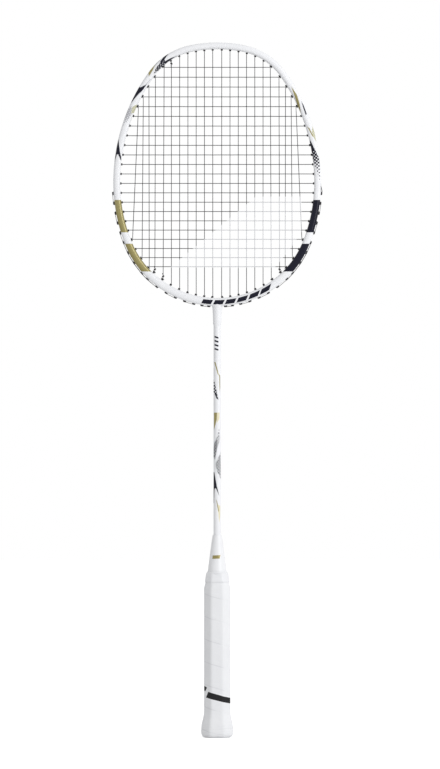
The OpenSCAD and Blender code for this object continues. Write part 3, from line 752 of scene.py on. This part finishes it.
forms = {"plain": plain_form, "lipped": lipped_form, "collar": collar_form, "saddle": saddle_form}
hole_groups = {
    "crown": crown_holes, "shoulder": side_holes[:5], "side": side_holes[5:first_raised - 1],
    "flank": side_holes[first_raised - 1:], "throat": throat_holes,
}
for group, holes in hole_groups.items():
    for side_name, side in (("left", -1), ("right", 1)):
        mirrored = Vector((side, 1, 1))
        seats = {kind: [] for kind in forms}
        for hole in holes:
            mouth, outer, normal = (hole[key] * mirrored for key in ("mouth", "outer", "normal"))
            way = (outer - mouth).normalized()
            seats["lipped" if hole["lipped"] else "plain"].append((mouth, way))
            if hole["height"] == flush_height:
                seats["collar"].append((outer - way * (groove_depth - 0.05), way))
            else:
                seats["saddle"].append((outer + normal * 0.05, normal))
        joined = bmesh.new()
        for kind, form in forms.items():
            if seats[kind]:
                part = set_forms(form, seats[kind])
                joined.from_mesh(part)
                bpy.data.meshes.remove(part)
        mesh = bpy.data.meshes.new(group + "_grommets_" + side_name + "_nylon")
        joined.to_mesh(mesh)
        joined.free()
        mesh.materials.append(nylon)
        piece = place_mesh(mesh.name, mesh, 35)
        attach(piece, "root")
        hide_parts(group + "_grommets_" + side_name)
for form in forms.values():
    bpy.data.objects.remove(form)

# ------------ Strings
# Two lengths of 0.7 mm multifilament nylon: one laces the mains and one the
# crosses, woven over and under at tension. They are tied off with knots.
string_d = 0.7
lane = string_d / 2 + 0.01
weave = 0.36


def lip(h, side, y):
    p = h["mouth"] - 0.3 * (h["outer"] - h["mouth"]).normalized()
    return Vector((side * p.x, y, p.z))


def crest(h, side, y):
    way = (h["outer"] - h["mouth"]).normalized()
    p = h["outer"] + way * (h["height"] / way.dot(h["normal"]))
    return Vector((side * p.x, y, p.z))


def saddle_end(h, side, y):
    n = h["normal"]
    p = h["outer"] + h["height"] * n + (saddle_l / 2 + 0.3) * Vector((-n.z, 0, n.x))
    return Vector((side * p.x, y, p.z))


def main_top(k):
    return crown_holes[k - 1] if k <= own_top else side_holes[k - own_top - 1]


def main_low(k):
    return throat_holes[k - 1] if k <= own_low else side_holes[low_partners[k - own_low - 1] - 1]


def over(k, side, j):
    """Which way a main lies where it meets a cross: 1 behind and -1 in front."""
    column = n_mains - k if side < 0 else n_mains - 1 + k
    return 1 if (column + j) % 2 else -1


def woven(start, end, others, sign):
    """Points from start to end, over and under the strings that are met on the way."""
    meets = []
    for key, (a, b) in others.items():
        d, e = end - start, b - a
        whole = d.x * e.z - d.z * e.x
        if abs(whole) < 1e-6:
            continue
        t = ((a.x - start.x) * e.z - (a.z - start.z) * e.x) / whole
        u = ((a.x - start.x) * d.z - (a.z - start.z) * d.x) / whole
        if 1.6 < t * d.length < d.length - 1.6 and 1.6 < u * e.length < e.length - 1.6:
            meets.append((t, key))
    points = [start]
    for t, key in sorted(meets):
        p = start.lerp(end, t)
        p.y = sign(key) * weave
        points.append(p)
    return points + [end]


cross_lines = {j + 1: (lip(h, -1, -lane), lip(h, 1, -lane)) for j, h in enumerate(side_holes)}
main_lines = {
    (k, side): (lip(main_low(k), side, lane), lip(main_top(k), side, lane))
    for k in range(1, n_mains + 1) for side in (-1, 1)
}


def main_run(k, side):
    low, high = main_lines[k, side]
    middle = woven(low, high, cross_lines, lambda j: over(k, side, j))
    return [crest(main_low(k), side, lane)] + middle + [crest(main_top(k), side, lane)]


def cross_run(j):
    left_end, right_end = cross_lines[j]
    h = side_holes[j - 1]
    middle = woven(left_end, right_end, main_lines, lambda key: -over(key[0], key[1], j))
    return [crest(h, -1, -lane)] + middle + [crest(h, 1, -lane)]


def knot(h, side, up, tail):
    """Two turns round the string beside it, and a short tail."""
    start, steps, pitch = lip(h, side, lane), 12, string_d + 0.1
    r = 2.4 * lane
    turns = []
    for i in range(2 * steps + 1):
        a = side * 2 * math.pi * i / steps
        turns.append(start + Vector((r * math.sin(a), -r * math.cos(a), up * (1 + pitch * i / steps))))
    end = start + Vector((0, -r, up * (1 + 2 * pitch)))
    return turns + [end + tail * Vector((side * 0.25, -0.2, up * 0.95)).normalized()]


def tie_off(side):
    end = throat_holes[own_low - 1]
    last = crest(side_holes[n_crosses - 1], side, 3 * lane)
    near = crest(end, side, -lane)
    return knot(end, side, 1, 2.4)[::-1] + [
        lip(end, side, -lane), near,
        near.lerp(Vector((last.x, -lane, last.z)), 0.25), Vector((near.x, 3 * lane, near.z)).lerp(last, 0.75),
    ] + [crest(side_holes[k - 1], side, 3 * lane) for k in range(n_crosses, low_partners[2], -1)]


main_route = tie_off(-1)
for k in range(n_mains, 0, -1):
    main_route += main_run(k, -1) if k % 2 else main_run(k, -1)[::-1]
for k in range(1, n_mains + 1):
    main_route += main_run(k, 1)[::-1] if k % 2 else main_run(k, 1)
main_route += tie_off(1)[::-1]

start_tail, end_tail = 2.2, 2.4
cross_start = crown_holes[own_top - 1]
cross_over, cross_end = throat_holes[own_low - 1], throat_holes[own_low - 2]
cross_last = crest(side_holes[n_crosses - 1], -1, -lane)
cross_out = crest(cross_over, -1, -3 * lane)
cross_route = knot(cross_start, -1, -1, start_tail)[::-1]
cross_route += [lip(cross_start, -1, -lane), crest(cross_start, -1, -lane)]
for j in range(1, n_crosses + 1):
    if j == first_raised:
        cross_route.append(saddle_end(side_holes[j - 1], 1, -lane))
    cross_route += cross_run(j) if j % 2 else cross_run(j)[::-1]
cross_route += [
    cross_last.lerp(Vector((cross_out.x, -lane, cross_out.z)), 0.25),
    Vector((cross_last.x, -3 * lane, cross_last.z)).lerp(cross_out, 0.75), cross_out,
    cross_out.lerp(crest(cross_end, -1, -3 * lane), 0.3),
    crest(cross_end, -1, -lane), lip(cross_end, -1, -lane),
] + knot(cross_end, -1, 1, end_tail)

# Multifilament nylon with a thin coating: smooth, with the slanting braid just
# showing. A plain block with a slanting side is sprayed on the strings in white ink.
braid_pitch = 0.9
stencil = [(37.7, 525.4), (82, 525.4), (82, 491), (70.5, 474), (56, 456.3), (-45.9, 456.3)]
cord_nylon, tree, shader = new_finish("braided_nylon_string")
run = put(tree, "ShaderNodeAttribute", attribute_name="run").outputs["Vector"]
parts = split(tree, run)
slant = calc(tree, "MULTIPLY_ADD", parts[0], 2 * math.pi / braid_pitch, parts[1])
braid = ramp(tree, calc(tree, "SINE", slant), -1)
spot_mm = object_mm(tree)
wear = noise(tree, spot_mm, 0.15, 2)
colour = blend(tree, braid, "#28282B", "#2E2E32")
colour = blend(tree, ramp(tree, wear, 0.4, 0.7, 0, 0.25), colour, "#55565A")
xyz = split(tree, spot_mm)
inked = lay(tree, pair(tree, xyz[0], xyz[2]), stencil, 0.8)
colour = blend(tree, inked, colour, "#CDCED2")
tree.links.new(colour, shader.inputs["Base Color"])
shader.inputs["Roughness"].default_value = 0.45
shader.inputs["IOR"].default_value = 1.53
shader.inputs["Specular IOR Level"].default_value = 0.3
raise_bump(tree, shader, 0.05, 0.00006, braid)

# The tree sweeps a round section along a route and keeps the length run for the braid
tree, keys = new_group("draw_string", Radius="Float", Sides="Int", Finish="Material")
given = put(tree, "NodeGroupInput").outputs
circle = {"Resolution": given["Sides"], "Radius": given["Radius"]}


def keep(tree, curve, name, measure):
    """Notes a measure of a curve on its points: the curve and the measure."""
    node = put(tree, "GeometryNodeCaptureAttribute", {"Geometry": curve.outputs[0]})
    node.capture_items.new("FLOAT", name)
    tree.links.new(put(tree, "GeometryNodeSplineParameter").outputs[measure], node.inputs[1])
    return node.outputs[0], node.outputs[1]


line = put(tree, "GeometryNodeMeshToCurve", {"Mesh": given["Geometry"]})
ring = put(tree, "GeometryNodeCurvePrimitiveCircle", circle, mode="RADIUS")
line, length_run = keep(tree, line, "length", "Length")
ring, turn_run = keep(tree, ring, "turn", "Factor")
swept = put(tree, "GeometryNodeCurveToMesh", {
    "Curve": line, "Profile Curve": ring, "Fill Caps": True,
}).outputs[0]
length_mm = calc(tree, "MULTIPLY", length_run, 1 / mm)
turn_angle = calc(tree, "MULTIPLY", turn_run, 2 * math.pi)
swept = put(tree, "GeometryNodeStoreNamedAttribute", {
    "Geometry": swept, "Name": "run", "Value": pair(tree, length_mm, turn_angle),
}, data_type="FLOAT_VECTOR", domain="POINT").outputs[0]
end_group(tree, swept, given["Finish"])

string_sides = 8
for node, route in (("main_string", main_route), ("cross_string", cross_route)):
    mesh = bpy.data.meshes.new("route")
    mesh.from_pydata([tuple(p * mm) for p in route], [(i, i + 1) for i in range(len(route) - 1)], [])
    mesh = grow(tree, keys, mesh, Radius=string_d / 2 * mm, Sides=string_sides, Finish=cord_nylon)
    mesh.name = "laced_" + node
    piece = place_mesh(mesh.name, mesh, 60)
    face_outwards(piece)
    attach(piece, "root")
    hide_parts(node)

# ------------ Handle core, T-piece and butt cap
# The wooden core is an octagon of lacquered beech with a flared foot, the T-piece
# is cast aluminium glued inside the throat, and the butt cap is moulded ABS.
beech, tree, shader = new_finish("turned_beech_wood")
spot_mm = object_mm(tree)
fibre = put(tree, "ShaderNodeMapping", {"Vector": spot_mm, "Scale": (1, 1, 0.06)}).outputs[0]
grain = noise(tree, fibre, 1.2, 4, 0.4)
pores = noise(tree, fibre, 5.0, 2)
colour = blend(tree, grain, "#C79A6B", "#E0BC90")
colour = blend(tree, ramp(tree, pores, 0.62, 0.7, 0, 0.5), colour, "#8E6238")
tree.links.new(colour, shader.inputs["Base Color"])
shader.inputs["Roughness"].default_value = 0.55
raise_bump(tree, shader, 0.3, 0.0001, pores)

aluminium, tree, shader = new_finish("cast_aluminium")
spot_mm = object_mm(tree)
cast = noise(tree, spot_mm, 1.5, 4)
tree.links.new(blend(tree, cast, "#A9ABAE", "#C4C6C8"), shader.inputs["Base Color"])
shader.inputs["Metallic"].default_value = 1.0
tree.links.new(ramp(tree, cast, 0, 1, 0.4, 0.6), shader.inputs["Roughness"])
raise_bump(tree, shader, 0.3, 0.0001, cast)


def spark_grain(tree, shader, where, strength):
    """The fine pits that a spark-eroded mould leaves."""
    pits = put(tree, "ShaderNodeTexVoronoi", {"Vector": where, "Scale": 3.0})
    raise_bump(tree, shader, strength, 0.00005, pits.outputs["Distance"])


# Moulded ABS: white, with a soft sheen
moulded, tree, shader = new_finish("moulded_white_abs")
spot_mm = object_mm(tree)
colour = blend(tree, noise(tree, spot_mm, 0.08, 2), "#F0F1F3", "#E9EAED")
tree.links.new(colour, shader.inputs["Base Color"])
shader.inputs["Roughness"].default_value = 0.42
shader.inputs["IOR"].default_value = 1.52
spark_grain(tree, shader, spot_mm, 0.15)
for node, material in (("handle_core", beech), ("t_joint", aluminium), ("butt_cap", moulded)):
    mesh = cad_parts[node].data
    mesh.materials.clear()
    mesh.materials.append(material)

# ------------ Cone
# A slim moulded ABS cone covers the top of the handle and hugs the shaft. A plain
# gold bar is hot-stamped on its front.
handle_top = 160.05
cone_abs, tree, shader = new_finish("moulded_abs_with_foil_bar")
spot_mm = object_mm(tree)
xyz = split(tree, spot_mm)
x_and_z = pair(tree, xyz[0], xyz[2])
front = calc(tree, "LESS_THAN", xyz[1], 0)
bar = lay(tree, x_and_z, [(-4.8, 173.4), (2.4, 173.8), (3.2, 177.2), (-4.4, 176.8)], 0.4)
bar = calc(tree, "MULTIPLY", bar, front)
colour = blend(tree, noise(tree, spot_mm, 0.08, 2), "#F1F2F4", "#EAEBEE")
gold_foil = blend(tree, noise(tree, spot_mm, 4.0, 1), "#877B47", "#A29763")
tree.links.new(blend(tree, bar, colour, gold_foil), shader.inputs["Base Color"])
tree.links.new(calc(tree, "MULTIPLY", bar, 0.4), shader.inputs["Metallic"])
shader.inputs["Roughness"].default_value = 0.36
shader.inputs["IOR"].default_value = 1.52
spark_grain(tree, shader, spot_mm, 0.12)
cone = turn_piece("moulded_cone", [
    (7.9, handle_top), (9.05, handle_top), (9.28, handle_top + 0.25), (9.26, handle_top + 1.0),
    (8.98, 163.5), (8.0, 171), (6.75, 180), (5.55, 189), (4.7, 194.5), (4.45, 195.9), (4.3, 196.35),
    (4.05, 196.5), (3.68, 196.5), (3.68, 190.5), (7.85, handle_top + 1),
], cone_abs)
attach(cone, "root")
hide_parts("cone_cap")

# ------------ Grip
# A white polyurethane grip, wound up the octagonal handle with each turn lapping
# the last, so soft ridges slant round it. It is stretched over the flared butt.
wrap_pitch, wrap_start = 21.9, 48
grip_low, grip_high = 0.0, 159.0
swell_steps = [
    (0, -0.15), (0.5, 0.9), (1.2, 1.75), (2.3, 2.5), (3.9, 3.0), (5.5, 3.1), (7.5, 3.05), (10, 2.87),
    (12.3, 2.6), (15, 2.05), (18, 1.25), (20.5, 0.6), (22.6, 0.2), (25, 0.02), (28, 0), (144, 0), (160, -2.3),
]


def swell(z):
    """How far the handle stands out from its own plain octagon at a height."""
    return between(swell_steps, z)


def grip_radius(turn, e):
    """The octagon's radius with softly rounded corners, for a handle that stands out by e."""
    c, s = abs(math.cos(turn)), abs(math.sin(turn))
    wide, deep = 10.9 + e, 9.8 + e
    edges = [wide / max(c, 1e-6), deep / max(s, 1e-6), (wide + deep - 5.7 - 0.586 * e) / (c + s)]
    return sum(r ** -26 for r in edges) ** (-1 / 26)


def smooth(t):
    t = min(1, max(0, t))
    return t * t * (3 - 2 * t)


def wrap_height(turn, z):
    """The lap of the winding: a raised strip that ends in a fine crease."""
    phase = ((z - wrap_start) / wrap_pitch + (turn + math.pi / 2) / (2 * math.pi)) % 1
    lap = smooth(phase / 0.02) * (1 - smooth((phase - 0.10) / 0.13))
    from_crease = abs(phase - 0.995) if phase > 0.9 else phase + 0.005
    crease = -0.12 * max(0, 1 - from_crease / 0.022)
    pucker = 0.03 * math.sin(9 * turn + 0.31 * z) * lap
    return 0.1 * lap + crease + pucker


grip_steps, grip_t, grip_limit = 110, 1.6, 1.69
levels = [0, 0.15, 0.4, 0.8, 1.3, 1.9, 2.6, 3.3] + [4 + 0.6 * i for i in range(258)] + [158.85, grip_high]
points = []
for z in levels:
    edge = min(z, grip_high - z)
    for k in range(grip_steps):
        turn = 2 * math.pi * k / grip_steps
        # Folds over the flare, and a little more thickness between the flare and the tape
        fold = 0.16 * math.sin(2.2 * z + 1.5 * math.sin(2 * turn))
        fold *= smooth((z - 4) / 3) * (1 - smooth((z - 9) / 6))
        room = 0.25 * smooth((z - 17) / 5) * (1 - smooth((z - 146) / 4))
        rounding = 0.25 * (1 - min(1, edge / 0.4)) ** 2
        out = grip_t + wrap_height(turn, z) + fold - rounding
        r = grip_radius(turn, swell(z) + room + min(out, grip_limit))
        points.append((r * math.cos(turn), r * math.sin(turn), z))
for z in (grip_high, 120, 60, 20, 7, 3, grip_low):
    for k in range(grip_steps):
        turn = 2 * math.pi * k / grip_steps
        r = grip_radius(turn, swell(z) + 0.1)
        points.append((r * math.cos(turn), r * math.sin(turn), z))

# Polyurethane film on felt, embossed with a fine leather grain: matt white, with
# painted shade along the crease of each lap. A plain black bar is printed across the front.
leather, tree, shader = new_finish("embossed_polyurethane_wrap")
spot_mm = object_mm(tree)
xyz = split(tree, spot_mm)
x_and_z = pair(tree, xyz[0], xyz[2])
front = calc(tree, "LESS_THAN", xyz[1], 0)
bar_parts = [
    [(-14, 51), (-9.9, 48.7), (-11.6, 44.9), (-14, 46.5)],
    [(-8.7, 44.7), (13.4, 38.3), (12.9, 33), (-10.9, 38.9)],
]
bar = calc(tree, "MULTIPLY", lay_all(tree, x_and_z, bar_parts), front)
pebble = put(tree, "ShaderNodeTexVoronoi", {"Vector": spot_mm, "Scale": 1.6})
fine = noise(tree, spot_mm, 2.4, 3)
cloud = noise(tree, spot_mm, 0.07, 3)
colour = blend(tree, cloud, "#F1F2F4", "#E8E9EC")
angle = calc(tree, "ARCTAN2", xyz[1], xyz[0])
turns = calc(tree, "MULTIPLY_ADD", angle, 1 / (2 * math.pi), 0.25)
rise = calc(tree, "MULTIPLY_ADD", xyz[2], 1 / wrap_pitch, -wrap_start / wrap_pitch)
phase = calc(tree, "FRACT", calc(tree, "ADD", calc(tree, "ADD", turns, rise), 0.5))
# Painted shade: a grey line along the crease where each turn of the wrap laps the last
painted_crease_shade = ramp(tree, calc(tree, "ABSOLUTE", calc(tree, "SUBTRACT", phase, 0.495)), 0.0, 0.03, 0.3, 0.0)
# The painted crease shade is broken up by noise and fades out towards the right, where the light falls
shade_fading_right = ramp(tree, calc(tree, "MULTIPLY_ADD", xyz[0], -0.02, cloud), 0.4, 0.6)
painted_crease_shade = calc(tree, "MULTIPLY", painted_crease_shade, shade_fading_right)
colour = blend(tree, painted_crease_shade, colour, "#B9BBC2")
colour = blend(tree, bar, colour, "#0C0C0F")
tree.links.new(colour, shader.inputs["Base Color"])
shader.inputs["Roughness"].default_value = 0.62
shader.inputs["IOR"].default_value = 1.5
shader.inputs["Specular IOR Level"].default_value = 0.35
height = calc(tree, "ADD", pebble.outputs["Distance"], fine)
raise_bump(tree, shader, 0.35, 0.00012, height)

grip = make_piece("wrapped_grip", points, quads(len(points) // grip_steps, grip_steps), leather, 60)
face_outwards(grip)
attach(grip, "root")
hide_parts("base_grip")

# ------------ Finishing tape
# A band of thin white vinyl tape holds the top edge of the grip and is drawn in
# over the cone's foot. It is stuck round once, and its end lies on its start.
tape_low, tape_high = 151.0, 159.0
points = []
tape_lap = 0.12
outer = [(2.12, tape_low), (2.15, tape_low + 0.1), (2.15, 153), (2.15, 155), (2.15, 157)]
outer += [(2.15, tape_high - 0.1), (2.12, tape_high)]
inner = [(1.8, tape_high), (1.8, 155), (1.8, tape_low)]
hem = [(10.75, 159.4), (10.2, 160.1), (9.7, 160.7), (9.42, 161.2), (9.36, 161.2), (9.55, 160.6), (9.8, 160.0)]
for out, z in outer + hem + inner:
    for k in range(grip_steps):
        turn = 2 * math.pi * k / grip_steps
        # The hem is round. Below it the tape is one layer thick at the back and two where it laps
        one_layer = out > 2 and 0.3 < turn < 2.2
        r = out if out > 9 else grip_radius(turn, swell(z) + out - tape_lap * one_layer)
        points.append((r * math.cos(turn), r * math.sin(turn), z))

# Calendered vinyl film: white, slightly glossy, with faint stretch lines round it
vinyl, tree, shader = new_finish("calendered_vinyl_tape")
spot_mm = object_mm(tree)
stretch = put(tree, "ShaderNodeMapping", {"Vector": spot_mm, "Scale": (0.15, 0.15, 1.6)}).outputs[0]
lines = noise(tree, stretch, 1.0, 3)
tree.links.new(blend(tree, lines, "#F0F1F3", "#E6E7EB"), shader.inputs["Base Color"])
tree.links.new(ramp(tree, lines, 0, 1, 0.3, 0.45), shader.inputs["Roughness"])
shader.inputs["IOR"].default_value = 1.53
raise_bump(tree, shader, 0.2, 0.0001, lines)
tape = make_piece("vinyl_finishing_tape", points, quads(len(points) // grip_steps, grip_steps), vinyl)
face_outwards(tape)
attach(tape, "root")
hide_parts("finishing_tape")
